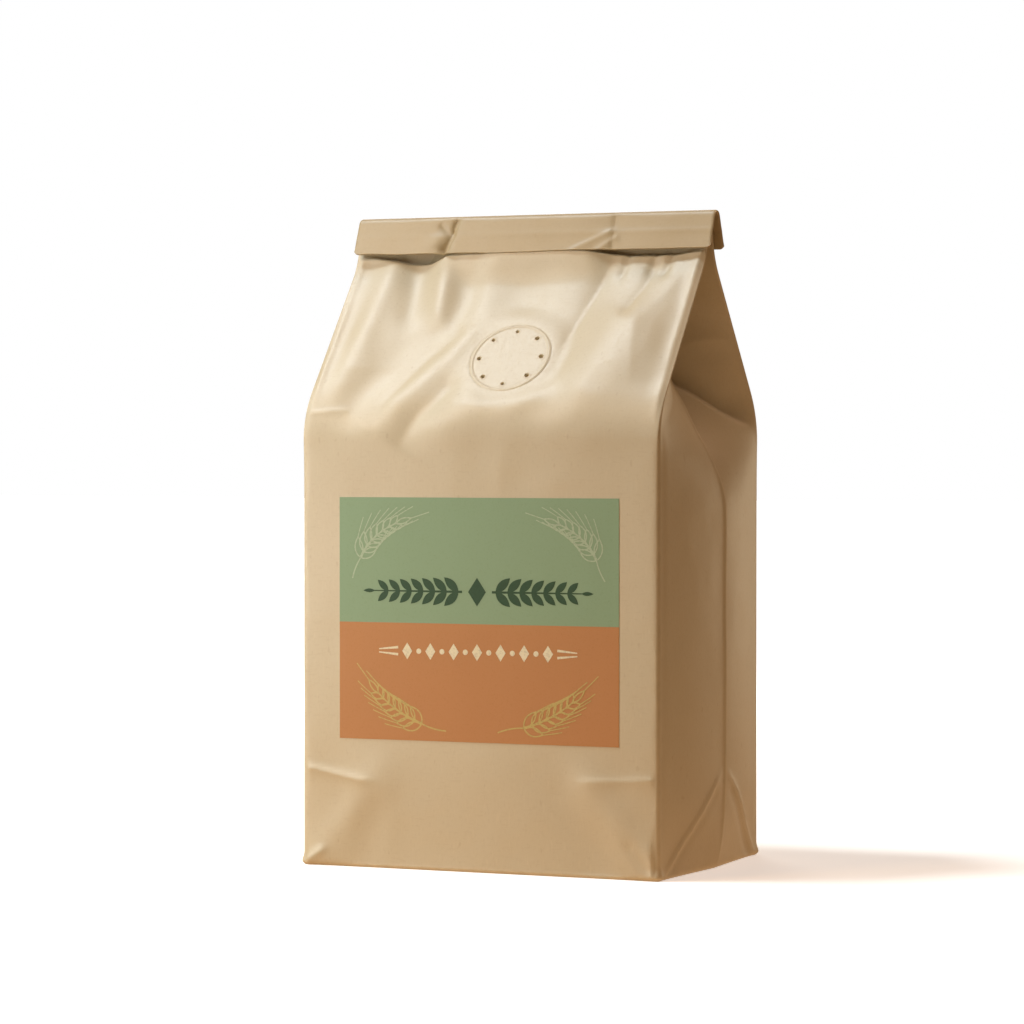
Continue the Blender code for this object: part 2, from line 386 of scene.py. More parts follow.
def bag_rows():
    """Heights of the bag's rows, close together where there are folds."""
    return np.concatenate(
        [
            np.array([0.0, 0.12, 0.4, 0.8]),
            np.arange(1.2, 36.0, 0.75),
            np.arange(36.0, 114.0, 2.0),
            np.arange(114.0, 186.0, 0.72),
            np.arange(186.0, 194.0, 0.4),
            np.linspace(194.0, BAG_TOP, 8),
        ]
    )


def side_shares():
    """Places across half a side, as shares from corner to crease, close together at both ends."""
    depth = HALF_DEPTH
    distances = np.concatenate(
        [
            np.array([0.5, 1.1, 1.9, 2.8]),
            np.arange(3.9, depth - 5.0, 1.15),
            depth - np.array([4.2, 3.4, 2.7, 2.1, 1.6, 1.15, 0.8, 0.5, 0.28, 0.12]),
        ]
    )
    return distances / depth


def quarter_grid(z, columns, extra=()):
    """One quarter of the bag, rows by columns by three, and how each column is reached.

    extra holds more places across the panel, as shares of its half width.
    """
    depth, radius = half_depth(z), fold_radius(z)
    centre_x, centre_y = HALF_WIDTH - radius, radius - depth
    line_x = crease_x(z)
    heading = np.arctan2(depth - radius, line_x - centre_x)
    points = []
    even = np.linspace(0.0, 1.0, columns, endpoint=False)
    shares = np.sort(np.concatenate([even * (1.35 - 0.35 * even), np.array(extra)]))
    for share in shares:
        points.append((centre_x * share, -depth))
    corner_steps = 5
    for step in range(corner_steps + 1):
        angle = heading * step / corner_steps - math.pi / 2
        points.append((centre_x + radius * np.cos(angle), centre_y + radius * np.sin(angle)))
    corner_x, corner_y = points[-1]
    for share in side_shares():
        bulged = np.where(line_x > corner_x, share**1.4, share)
        points.append((corner_x + (line_x - corner_x) * bulged, corner_y * (1 - share)))
    points.append((line_x, 0.0 * z))
    stacked = [np.stack([x + 0 * z, y + 0 * z, z], axis=1) for x, y in points]
    kinds = ["panel"] * len(shares) + ["corner"] * (corner_steps + 1)
    kinds += ["side"] * (len(side_shares()) + 1)
    return np.stack(stacked, axis=1), kinds


def bag_grid():
    """The bag's whole surface before its folds, with the kind of each column."""
    z = bag_rows()
    fine, fine_kinds = quarter_grid(z, 58)
    seam_edge = np.array([-0.30, -0.16, -0.05, 0.06]) + SEAM_EDGE
    plain, plain_kinds = quarter_grid(z, 40, seam_edge / HALF_WIDTH)
    front_right = fine
    back_right = (plain * np.array([1, -1, 1]))[:, -2::-1]
    back_left = (plain * np.array([-1, -1, 1]))[:, 1:-1]
    front_left = (fine * np.array([-1, 1, 1]))[:, :0:-1]
    grid = np.concatenate([front_right, back_right, back_left, front_left], axis=1)
    kinds = [("front", kind) for kind in fine_kinds]
    kinds += [("back", kind) for kind in plain_kinds[-2::-1]]
    kinds += [("back", kind) for kind in plain_kinds[1:-1]]
    kinds += [("front", kind) for kind in fine_kinds[:0:-1]]
    return grid, kinds


def corner_fade(x, radius):
    """One on the flat of a panel and zero at its corner folds."""
    return 1 - smooth_step(np.abs(x), HALF_WIDTH - radius - 1.2, HALF_WIDTH - 0.2 * radius)


def bag_displacement(grid, kinds):
    """How far each point of the bag moves along its normal."""
    x, y, z = grid[..., 0], grid[..., 1], grid[..., 2]
    radius = fold_radius(z)
    move = np.zeros(x.shape)
    front = np.array([where == "front" for where, _ in kinds])
    flat = np.array([kind == "panel" for _, kind in kinds])
    side = np.array([kind == "side" for _, kind in kinds])
    fade = corner_fade(x, radius)
    chosen = flat & front
    move[:, chosen] = (front_relief(x, z) * fade)[:, chosen]
    chosen = flat & ~front
    move[:, chosen] = (back_relief(x, z) * fade)[:, chosen]
    right = grid[0, :, 0] > 0
    depth = half_depth(z)
    from_corner = depth - np.abs(y)
    room = smooth_step(from_corner, 0.4, 5.0)
    for is_right, seed in ((True, 71), (False, 93)):
        chosen = side & (right == is_right)
        move[:, chosen] = (side_relief(y, z, seed) * room)[:, chosen]
    squeeze = 1 - 0.9 * smooth_step(z, 178.0, 193.0)
    move[:, side] = (move * squeeze)[:, side]
    pocket = 1.3 * (1 - smooth_step(valve_distance(x, z), VALVE_RADIUS - 1.8, VALVE_RADIUS - 0.6))
    move = move - np.where(flat & front, pocket, 0.0)
    # nothing moves at the flat base
    return move * smooth_step(z, 0.0, 1.6)


def make_bag():
    grid, kinds = bag_grid()
    normals = grid_normals(grid, True)
    surface = grid + normals * bag_displacement(grid, kinds)[..., None]
    # ears that flare out at the four bottom corners, and the rounded bottom edge
    z = grid[..., 2]
    from_corner = np.hypot(HALF_WIDTH - np.abs(grid[..., 0]), HALF_DEPTH - np.abs(grid[..., 1]))
    near_corner = np.exp(-(from_corner**2) / 14.0)
    ear = 0.75 * near_corner * np.exp(-(((z - 1.2) / 1.6) ** 2))
    tuck = 0.9 * (1 - smooth_step(z, -0.3, 0.9))
    outwards = normals * np.array([1.0, 1.0, 0.0])
    surface = surface + outwards * (ear - tuck)[..., None]
    surface[..., 2] = np.maximum(surface[..., 2], 0.0)
    surface[0, :, 2] = 0.0
    rows, columns = grid.shape[:2]
    faces = grid_faces(rows, columns, True)
    faces.append(tuple(range(columns - 1, -1, -1)))
    faces.append(tuple((rows - 1) * columns + index for index in range(columns)))
    made = mesh_object("kraft_bag", surface.reshape(-1, 3), faces)
    store_wear_and_shade(made, bend_of(surface, True))
    return made


def panel_point(x, z, out):
    """A point on the front panel with its folds, moved out along the panel's normal."""
    lean = np.where(z > SHOULDER, LEAN, 0.0)
    size = np.hypot(1.0, lean)
    relief = front_relief(x, z) + out
    return np.stack([x, -half_depth(z) - relief / size, z + relief * lean / size], axis=-1)


LABEL_OUT = 0.12  # how far the label's face stands off the paper
LABEL_BACK_OUT = 0.02
LABEL_MIDDLE = label_low[2] + 0.4835 * (label_high[2] - label_low[2])  # where green meets orange


def make_label():
    """A thin sheet that follows the front panel."""
    across = np.linspace(label_low[0], label_high[0], 95)
    up = np.linspace(label_low[2], label_high[2], 76)
    x, z = np.meshgrid(across, up)
    face = panel_point(x, z, LABEL_OUT)
    back = panel_point(x, z, LABEL_BACK_OUT)
    rows, columns = x.shape
    count = rows * columns
    faces = grid_faces(rows, columns, False)
    faces += [tuple(count + index for index in reversed(quad)) for quad in faces]
    rim = list(range(columns))
    rim += [row * columns + columns - 1 for row in range(1, rows)]
    rim += [(rows - 1) * columns + index for index in range(columns - 2, -1, -1)]
    rim += [row * columns for row in range(rows - 2, 0, -1)]
    for here, after in zip(rim, rim[1:] + rim[:1]):
        faces.append((here, count + here, count + after, after))
    return mesh_object("front_label", np.concatenate([face.reshape(-1, 3), back.reshape(-1, 3)]), faces)


# ---------------------------------------------------------------- printed line work


PRINT_LIFT = 0.03  # how far the ink stands off the label
LAYER = 0.0004  # each line of the print lies this much over the last, so that no two share a plane


class Print:
    """Flat line work on the label, in millimetres from the label's bottom left corner."""

    def __init__(self, name, lift):
        self.name = name
        self.lift = lift
        self.points = []
        self.faces = []
        self.layers = 0

    def place(self, flat):
        """Puts points of the flat artwork on the label's face."""
        flat = np.asarray(flat, float)
        out = LABEL_OUT + self.lift + LAYER * self.layers
        return panel_point(label_low[0] + flat[:, 0], label_low[2] + flat[:, 1], out)

    def stroke(self, line, widths):
        """A ribbon along a line of points."""
        line = np.asarray(line, float)
        self.layers += 1
        along = np.gradient(line, axis=0)
        along /= np.maximum(np.linalg.norm(along, axis=1, keepdims=True), 1e-9)
        side = np.stack([-along[:, 1], along[:, 0]], axis=1) * (np.asarray(widths) / 2).reshape(-1, 1)
        first = len(self.points)
        both = np.stack([self.place(line - side), self.place(line + side)], axis=1).reshape(-1, 3)
        self.points.extend(both)
        for index in range(len(line) - 1):
            a = first + 2 * index
            self.faces.append((a, a + 2, a + 3, a + 1))

    def patch(self, outline):
        """A filled shape, as a fan about its middle."""
        outline = np.asarray(outline, float)
        self.layers += 1
        first = len(self.points)
        self.points.extend(self.place(np.vstack([outline.mean(axis=0), outline])))
        count = len(outline)
        for index in range(count):
            self.faces.append((first, first + 1 + index, first + 1 + (index + 1) % count))

    def make(self):
        return mesh_object(self.name, self.points, self.faces)


def bezier(start, control, end, count=14):
    t = np.linspace(0, 1, count)[:, None]
    start, control, end = (np.array(p, float) for p in (start, control, end))
    return (1 - t) ** 2 * start + 2 * t * (1 - t) * control + t**2 * end


def turned(vector, degrees):
    angle = math.radians(degrees)
    cos, sin = math.cos(angle), math.sin(angle)
    return np.array([vector[0] * cos - vector[1] * sin, vector[0] * sin + vector[1] * cos])


def kernel(art, base, direction, length, width, line):
    """The outline of one grain: a pointed oval."""
    tip = base + direction * length
    normal = turned(direction, 90)
    for side in (-1, 1):
        bulge = base + direction * 0.45 * length + normal * side * width
        art.stroke(bezier(base, bulge, tip, 10), line)
    return tip


def wheat_ear(art, foot, base, middle, tip, line):
    """A line drawing of an ear: a curved stalk, grains in pairs along a bent spine, and long awns."""
    bend = (foot + base) / 2 + turned(base - foot, 90) * 0.10
    art.stroke(bezier(foot, bend, base, 10), line)
    steps = 60
    spine = bezier(base, middle, tip, steps + 1)
    art.stroke(spine[: int(0.8 * steps)], 0.7 * line)
    pairs = 7
    for pair in range(pairs):
        at = int(steps * 0.82 * pair / pairs)
        here = spine[at]
        forward = spine[at + 4] - spine[at]
        forward = forward / np.linalg.norm(forward)
        grow = 1.0 - 0.055 * pair
        for side in (-1, 1):
            start = here + turned(forward, 90 * side) * 0.3 * grow
            ahead = turned(forward, side * (32 - 1.5 * pair))
            grain_tip = kernel(art, start, ahead, 6.3 * grow, 2.7 * grow, line)
            end = grain_tip + turned(forward, side * (9 - 1.0 * pair)) * (6.5 + 0.4 * pair) * grow
            art.stroke(bezier(grain_tip, (grain_tip + end) / 2 + ahead * 0.4, end, 7), 0.7 * line)
    forward = (spine[-1] - spine[-4]) / np.linalg.norm(spine[-1] - spine[-4])
    last = kernel(art, spine[int(0.8 * steps)], forward, 5.2, 1.6, line)
    art.stroke(bezier(last, last + forward * 3, last + forward * 6.5, 5), 0.75 * line)


LABEL_W = label_high[0] - label_low[0]
LABEL_H = label_high[2] - label_low[2]


def spot(across, down):
    """A place on the label by its shares from the left and from the top."""
    return np.array([across * LABEL_W, (1 - down) * LABEL_H])


def leaf(art, base, direction, length, width):
    """A filled pointed leaf."""
    tip = base + direction * length
    side = turned(direction, 90) * width
    upper = bezier(base, base + direction * 0.45 * length + side, tip, 9)
    lower = bezier(tip, base + direction * 0.45 * length - side, base, 9)
    art.patch(np.vstack([upper, lower[1:-1]]))


def diamond(art, centre, across, up):
    art.patch(centre + np.array([(-across, 0.0), (0.0, -up), (across, 0.0), (0.0, up)]))


def dot(art, centre, radius):
    angles = np.linspace(0, 2 * math.pi, 20, endpoint=False)
    art.patch(centre + radius * np.stack([np.cos(angles), np.sin(angles)], axis=1))


LEAF_ANGLE = 42.0  # between a leaf and its stalk, in degrees


def garland(art):
    """Two rows of plain leaves that run out from a diamond."""
    centre = spot(0.5, 0.385)
    diamond(art, centre, 3.0, 4.4)
    for side in (-1, 1):
        outwards = np.array([float(side), 0.0])
        start = centre + np.array([side * 5.0, 0.0])
        end = centre + np.array([side * 0.375 * LABEL_W, 0.0])
        art.stroke(np.linspace(start, end, 30), np.linspace(0.75, 0.35, 30))
        leaves = 7
        for index in range(leaves):
            share = index / leaves
            base = start + (end - start) * (0.04 + 0.92 * share)
            length = 6.6 - 1.9 * share
            for up in (-1, 1):
                leaf(art, base, turned(outwards, side * up * LEAF_ANGLE), length, 0.42 * length)
        leaf(art, end - np.array([side * 0.5, 0.0]), outwards, 4.0, 1.2)


def beads(art):
    """A row of diamonds and dots between two short rules."""
    middle = 0.632
    for index in range(-6, 7):
        centre = spot(0.5 + 0.042 * index, middle)
        if index % 2 == 0:
            diamond(art, centre, 1.7, 2.6)
        else:
            dot(art, centre, 0.85)
    for side in (-1, 1):
        for lift in (-1.1, 1.1):
            start = spot(0.5 + side * 0.285, middle) + np.array([0.0, lift])
            end = spot(0.5 + side * 0.355, middle) + np.array([0.0, 0.45 * lift])
            art.stroke(np.linspace(start, end, 12), np.linspace(0.8, 0.35, 12))


def make_print():
    """Four ears in the corners, and plain ornaments in the middle of each field."""
    pale = Print("print_pale_ears", PRINT_LIFT)
    wheat_ear(pale, spot(0.048, 0.335), spot(0.078, 0.250), spot(0.118, 0.135), spot(0.262, 0.082), 0.40)
    wheat_ear(pale, spot(0.952, 0.335), spot(0.922, 0.250), spot(0.882, 0.135), spot(0.738, 0.082), 0.40)
    gold = Print("print_gold_ears", PRINT_LIFT)
    wheat_ear(gold, spot(0.389, 0.957), spot(0.300, 0.930), spot(0.185, 0.880), spot(0.112, 0.765), 0.44)
    wheat_ear(gold, spot(0.574, 0.957), spot(0.668, 0.935), spot(0.790, 0.890), spot(0.875, 0.785), 0.44)
    dark = Print("print_leaf_garland", PRINT_LIFT)
    garland(dark)
    cream = Print("print_bead_row", PRINT_LIFT)
    beads(cream)
    return pale.make(), gold.make(), dark.make(), cream.make()


# ---------------------------------------------------------------- the valve


PINHOLES = (1.0, 0.95, 0.45, 0.5, 0.8, 0.9, 0.4, 1.0)  # how strong each one is, anticlockwise from the right


def make_valve():
    """A pressed disc with a raised ring, a ring of pinholes and a thin edge that lies on the panel."""
    outer = VALVE_RADIUS + 0.5
    hole_circle = 0.8 * VALVE_RADIUS
    radii = np.concatenate(
        [
            np.linspace(0.0, hole_circle - 1.0, 10)[1:],
            np.arange(hole_circle - 0.9, hole_circle + 0.95, 0.11),
            np.linspace(hole_circle + 1.05, VALVE_RADIUS - 1.2, 3),
            np.arange(VALVE_RADIUS - 1.1, outer, 0.1),
        ]
    )
    columns = 560
    angles = np.linspace(0, 2 * math.pi, columns, endpoint=False)
    r, a = np.meshgrid(radii, angles, indexing="ij")
    out = 0.10 + 0.10 * np.exp(-(((r - VALVE_RADIUS + 0.35) / 0.45) ** 2))
    out -= 0.04 * np.exp(-(((r - VALVE_RADIUS + 1.2) / 0.5) ** 2))
    out -= 0.07 * smooth_step(r, VALVE_RADIUS - 0.2, outer)
    out += 0.05 * np.cos(2 * a) * (r / VALVE_RADIUS) ** 2
    flat_x, flat_z = r * np.cos(a), r * np.sin(a)
    for index, strength in enumerate(PINHOLES):
        angle = 2 * math.pi * index / len(PINHOLES) + 0.03
        away = np.hypot(flat_x - hole_circle * math.cos(angle), flat_z - hole_circle * math.sin(angle))
        reach = 0.40 + 0.22 * strength
        out -= (0.35 + 0.75 * strength) * (1 - smooth_step(away, 0.6 * reach, 1.25 * reach))
        out += 0.05 * np.exp(-(((away - 1.7 * reach) / 0.25) ** 2))
    stretch = math.hypot(1.0, LEAN)
    points = panel_point(VALVE_X + flat_x, VALVE_Z + flat_z / stretch, out).reshape(-1, 3)
    rows = len(radii)
    faces = [tuple(reversed(quad)) for quad in grid_faces(rows, columns, True)]
    centre = panel_point(np.array([VALVE_X]), np.array([VALVE_Z]), 0.10)
    points = np.concatenate([points, centre])
    for index in range(columns):
        faces.append((rows * columns, index, (index + 1) % columns))
    return mesh_object("pressed_valve", points, faces)


# ---------------------------------------------------------------- the strip


STRIP_SPREAD = 5.9
STRIP_TURN = 2.0
STRIP_THICKNESS = 0.7
STRIP_MIDDLE = strip_high[2] - STRIP_TURN - 0.4
STRIP_EDGE = strip_low[2] + 0.15


def strip_line(count):
    """The strip's middle line in section, from the front edge over the top to the back edge."""
    lean = math.atan2(STRIP_SPREAD - STRIP_TURN, STRIP_MIDDLE - STRIP_EDGE)
    start = np.array([-STRIP_SPREAD, STRIP_EDGE])
    sweep = math.pi - 2 * lean
    angles = np.pi - lean - sweep * np.linspace(0, 1, 13)
    arc = np.stack([STRIP_TURN * np.cos(angles), STRIP_MIDDLE + STRIP_TURN * np.sin(angles)], axis=1)
    leg = start + (arc[0] - start) * np.linspace(0, 1, count, endpoint=False)[:, None]
    back = leg[::-1] * np.array([-1, 1])
    return np.concatenate([leg, arc, back])


def strip_relief(x, z, front):
    """Creases of the strip, outwards."""
    relief = 0.05 * wrinkles(x, z, 9.0, 5) + 0.06 * smooth_noise(x, z * 3, 14.0, 8)
    relief += 0.16 * np.exp(-np.abs(z - 197.6 - 0.25 * smooth_noise(x, 0 * z, 25.0, 3)) / 0.7)
    if not front:
        return relief
    # the pinch on the left, with its short branch and the pocket under it
    pinch = [(-23.6, 206.0), (-26.3, 200.2), (-26.0, 197.6), (-28.2, 194.0), (-29.0, 191.0)]
    relief += fold_line(x, z, pinch, 0.6, -0.8)
    relief += crease(x, z, (-29.2, 190.0), (-23.8, 207.0), 0.7, -0.55, 8.0)
    relief += fold_line(x, z, [(-31.5, 201.5), (-28.8, 199.3), (-26.2, 197.4)], 0.55, -0.7)
    relief += dome(x, z, (-31.5, 196.2), (4.0, 2.0), 20.0, 0.35)
    relief -= dome(x, z, (-28.6, 193.4), (1.6, 1.2), 0.0, 0.7)
    # the step on the right, with a slanting tuck at its foot
    relief += crease(x, z, (29.3, 190.0), (28.6, 211.0), 5.5, -0.42, 0.22)
    relief += crease(x, z, (15.0, 192.0), (30.0, 198.6), 1.8, 0.42, 0.3)
    relief += crease(x, z, (23.5, 191.6), (31.0, 196.4), 1.6, 0.36, 0.3)
    pressed = (1 - smooth_step(np.abs(x - 0.5), 22.0, 30.0)) * (1 - smooth_step(z, 192.0, 199.0))
    return (relief - 0.25 * pressed) * (1 - smooth_step(z, 202.0, strip_high[2] - 0.3))


def make_strip():
    line = strip_line(15)
    along = np.gradient(line, axis=0)
    along /= np.linalg.norm(along, axis=1, keepdims=True)
    normal = np.stack([-along[:, 1], along[:, 0]], axis=1)
    ends = np.array([0.0, 0.12, 0.35, 0.7, 1.2])
    inner = np.arange(strip_low[0] + 2.0, strip_high[0] - 1.9, 0.55)
    across = np.concatenate([strip_low[0] + ends, inner, strip_high[0] - ends[::-1]])
    count = len(line)
    front = line[:, 0] < 0
    rows = []
    for x in across:
        z = line[:, 1]
        relief = np.where(front, strip_relief(x + 0 * z, z, True), strip_relief(-x + 0 * z, z, False))
        edge = min(x - strip_low[0], strip_high[0] - x)
        soften = 0.28 * (1 - min(1.0, edge / 0.7)) ** 2
        wave = 0.25 * smooth_noise(np.array([x]), np.array([0.0]), 11.0, 21)[0]
        lift = np.exp(-(z - STRIP_EDGE) / 2.0) * wave
        corner = 0.9 * max(0.0, 1 - edge / 1.2) ** 2 * np.exp(-(z - STRIP_EDGE) / 1.0)
        outer = line + normal * (STRIP_THICKNESS / 2 + relief - soften)[:, None]
        within = line - normal * (STRIP_THICKNESS / 2 - relief - soften)[:, None]
        for side in (outer, within):
            side[:, 1] += lift + corner
        rows.append(np.concatenate([outer, within[::-1]]))
    ring = 2 * count
    points = [(x, p[0], p[1]) for x, row in zip(across, rows) for p in row]
    faces = grid_faces(len(across), ring, True)
    for index in range(count - 1):
        partner = ring - 1 - index
        faces.append((index, partner, partner - 1, index + 1))
        last = (len(across) - 1) * ring
        faces.append((last + index + 1, last + partner - 1, last + partner, last + index))
    return mesh_object("folded_strip", points, faces)


# ---------------------------------------------------------------- materials


def linear(channel):
    share = channel / 255
    return share / 12.92 if share <= 0.04045 else ((share + 0.055) / 1.055) ** 2.4


def colour(red, green, blue):
    return (linear(red), linear(green), linear(blue), 1.0)


class Material:
    """Short names for building a node material."""

    def __init__(self, name):
        self.made = bpy.data.materials.new(name)
        self.made.use_nodes = True
        self.nodes = self.made.node_tree.nodes
        self.links = self.made.node_tree.links
        self.shader = self.nodes["Principled BSDF"]
        self.place = self.nodes.new("ShaderNodeTexCoord").outputs["Object"]

    def feed(self, socket, value):
        """Links a socket to a socket, or sets it to a value."""
        if isinstance(value, bpy.types.NodeSocket):
            self.links.new(value, socket)
        else:
            socket.default_value = value

    def mapped(self, scale, turn=(0.0, 0.0, 0.0)):
        node = self.nodes.new("ShaderNodeMapping")
        node.inputs["Scale"].default_value = scale
        node.inputs["Rotation"].default_value = turn
        self.links.new(self.place, node.inputs["Vector"])
        return node.outputs["Vector"]

    def noise(self, scale, detail=3.0, roughness=0.5, stretch=(1.0, 1.0, 1.0), turn=(0.0, 0.0, 0.0)):
        node = self.nodes.new("ShaderNodeTexNoise")
        node.inputs["Scale"].default_value = scale
        node.inputs["Detail"].default_value = detail
        node.inputs["Roughness"].default_value = roughness
        self.links.new(self.mapped(stretch, turn), node.inputs["Vector"])
        return node.outputs["Fac"]

    def ramp(self, source, low, high, bottom=0.0, top=1.0):
        node = self.nodes.new("ShaderNodeMapRange")
        node.interpolation_type = "SMOOTHSTEP"
        for name, value in (("From Min", low), ("From Max", high), ("To Min", bottom), ("To Max", top)):
            node.inputs[name].default_value = value
        self.links.new(source, node.inputs["Value"])
        return node.outputs["Result"]

    def mix(self, first, second, share, blend="MIX"):
        node = self.nodes.new("ShaderNodeMix")
        node.data_type = "RGBA"
        node.blend_type = blend
        for index, value in ((0, share), (6, first), (7, second)):
            self.feed(node.inputs[index], value)
        return node.outputs[2]

    def maths(self, operation, first, second):
        node = self.nodes.new("ShaderNodeMath")
        node.operation = operation
        for socket, value in zip(node.inputs, (first, second)):
            self.feed(socket, value)
        return node.outputs[0]

    def attribute(self, name):
        node = self.nodes.new("ShaderNodeAttribute")
        node.attribute_name = name
        return node.outputs["Fac"]

    def bump(self, height, strength, distance):
        node = self.nodes.new("ShaderNodeBump")
        node.inputs["Strength"].default_value = strength
        node.inputs["Distance"].default_value = distance
        self.links.new(height, node.inputs["Height"])
        self.links.new(node.outputs["Normal"], self.shader.inputs["Normal"])

    def set(self, **values):
        for name, value in values.items():
            socket = self.shader.inputs[name.replace("_", " ").title().replace("Ior", "IOR")]
            self.feed(socket, value)


def kraft(name, base, dark, pale, stretch):
    """Kraft paper: fibres, flecks, faint clouds, paler ridges from wear that are partly a painted highlight,
    painted shade in the valleys, and an uneven low sheen.
    """
    paper = Material(name)
    clouds = paper.noise(16.0, 2.0, 0.5)
    grain = paper.noise(1500.0, 3.0, 0.6, stretch)
    grit = paper.noise(3200.0, 2.0, 0.6)
    upright = paper.noise(1700.0, 1.0, 0.4, (1.0, 1.0, 0.16), (0.5, 0.45, 0.3))
    level = paper.noise(1700.0, 1.0, 0.4, (0.20, 1.0, 1.0), (0.4, 0.6, 0.9))
    flecks = paper.noise(560.0, 1.0, 0.4, (1.0, 1.0, 0.5), (0.6, 0.2, 0.4))
    patches = paper.noise(240.0, 2.0, 0.5)
    shade = paper.mix(base, dark, paper.ramp(clouds, 0.35, 0.75, 0.0, 0.14))
    shade = paper.mix(shade, dark, paper.ramp(grain, 0.50, 0.80, 0.0, 0.20))
    shade = paper.mix(shade, pale, paper.ramp(upright, 0.58, 0.76, 0.0, 0.15))
    shade = paper.mix(shade, dark, paper.ramp(level, 0.58, 0.76, 0.0, 0.14))
    shade = paper.mix(shade, dark, paper.ramp(flecks, 0.72, 0.80, 0.0, 0.32))
    # ridges paler: wear of the paper, partly a painted highlight
    wear_and_highlight = paper.maths("MULTIPLY", paper.attribute("ridge"), paper.ramp(patches, 0.30, 0.65, 0.15, 0.75))
    shade = paper.mix(shade, pale, wear_and_highlight)
    # valleys darker: painted shade
    shade = paper.mix(shade, dark, paper.maths("MULTIPLY", paper.attribute("valley"), 0.55))
    paper.set(base_color=shade, roughness=paper.ramp(grain, 0.2, 0.8, 0.45, 0.55))
    height = paper.maths("ADD", paper.maths("MULTIPLY", grain, 0.6), paper.maths("MULTIPLY", grit, 0.3))
    height = paper.maths("ADD", height, paper.maths("MULTIPLY", upright, 0.2))
    paper.bump(height, 0.20, 0.00005)
    paper.shader.inputs["Specular IOR Level"].default_value = 1.0
    return paper


KRAFT_BASE = colour(200, 187, 157)
KRAFT_DARK = colour(176, 156, 120)
KRAFT_PALE = colour(214, 200, 170)
# the strip's paper is darker than the bag's: partly its own tone, partly painted shade against the stronger
# light that falls on the strip
STRIP_BASE = colour(176, 157, 118)
STRIP_DARK = colour(160, 140, 100)
STRIP_PALE = colour(186, 168, 130)
LABEL_ORANGE = colour(186, 132, 84)
LABEL_GREEN = colour(138, 165, 133)


def label_material():
    """Matt print: sage green above burnt orange, with a hair of paper grain."""
    paper = Material("label_print")
    split = paper.nodes.new("ShaderNodeSeparateXYZ")
    paper.links.new(paper.place, split.inputs[0])
    upper = paper.ramp(split.outputs["Z"], (LABEL_MIDDLE - 0.06) * MM, (LABEL_MIDDLE + 0.06) * MM)
    field = paper.mix(LABEL_ORANGE, LABEL_GREEN, upper)
    clouds = paper.noise(60.0, 3.0, 0.5)
    grit = paper.noise(1700.0, 3.0, 0.6)
    faded = paper.ramp(clouds, 0.45, 0.8, 0.0, 0.10)
    speckled = paper.ramp(grit, 0.55, 0.75, 0.0, 0.35)
    field = paper.mix(field, (0.9, 0.9, 0.9, 1.0), faded, "MULTIPLY")
    field = paper.mix(field, (0.82, 0.80, 0.76, 1.0), speckled, "MULTIPLY")
    paper.set(base_color=field, roughness=paper.ramp(grit, 0.3, 0.7, 0.52, 0.66))
    paper.bump(grit, 0.25, 0.00006)
    paper.shader.inputs["Specular IOR Level"].default_value = 0.4
    return paper.made


def ink(name, tone):
    """Printed line ink over paper grain."""
    paper = Material(name)
    grit = paper.noise(1700.0, 3.0, 0.6)
    fainter = tuple(0.8 * channel for channel in tone[:3]) + (1.0,)
    paper.set(base_color=paper.mix(tone, fainter, paper.ramp(grit, 0.45, 0.7)), roughness=0.6)
    return paper.made


# ---------------------------------------------------------------- build


bag = make_bag()
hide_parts("bag")
bag_paper = kraft("kraft_paper_look", KRAFT_BASE, KRAFT_DARK, KRAFT_PALE, (1.0, 1.0, 0.5))
bag.data.materials.append(bag_paper.made)

strip = make_strip()
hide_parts("top_strip")
strip_paper = kraft("strip_paper_look", STRIP_BASE, STRIP_DARK, STRIP_PALE, (0.7, 1.0, 1.0))
strip.data.materials.append(strip_paper.made)

label = make_label()
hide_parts("label")
label.data.materials.append(label_material())

pale_ears, gold_ears, leaf_garland, bead_row = make_print()
pale_ears.data.materials.append(ink("pale_ink", colour(173, 192, 163)))
gold_ears.data.materials.append(ink("gold_ink", colour(194, 174, 105)))
leaf_garland.data.materials.append(ink("dark_green_ink", colour(38, 74, 46)))
bead_row.data.materials.append(ink("cream_ink", colour(228, 220, 190)))

valve = make_valve()
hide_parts("valve")
valve.data.materials.append(bag_paper.made)

printed = (pale_ears, gold_ears, leaf_garland, bead_row)
for piece in (bag, strip, label, valve) + printed:
    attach(piece, "root")


# ---------------------------------------------------------------- studio


FLOOR_HALF = 8.0  # metres


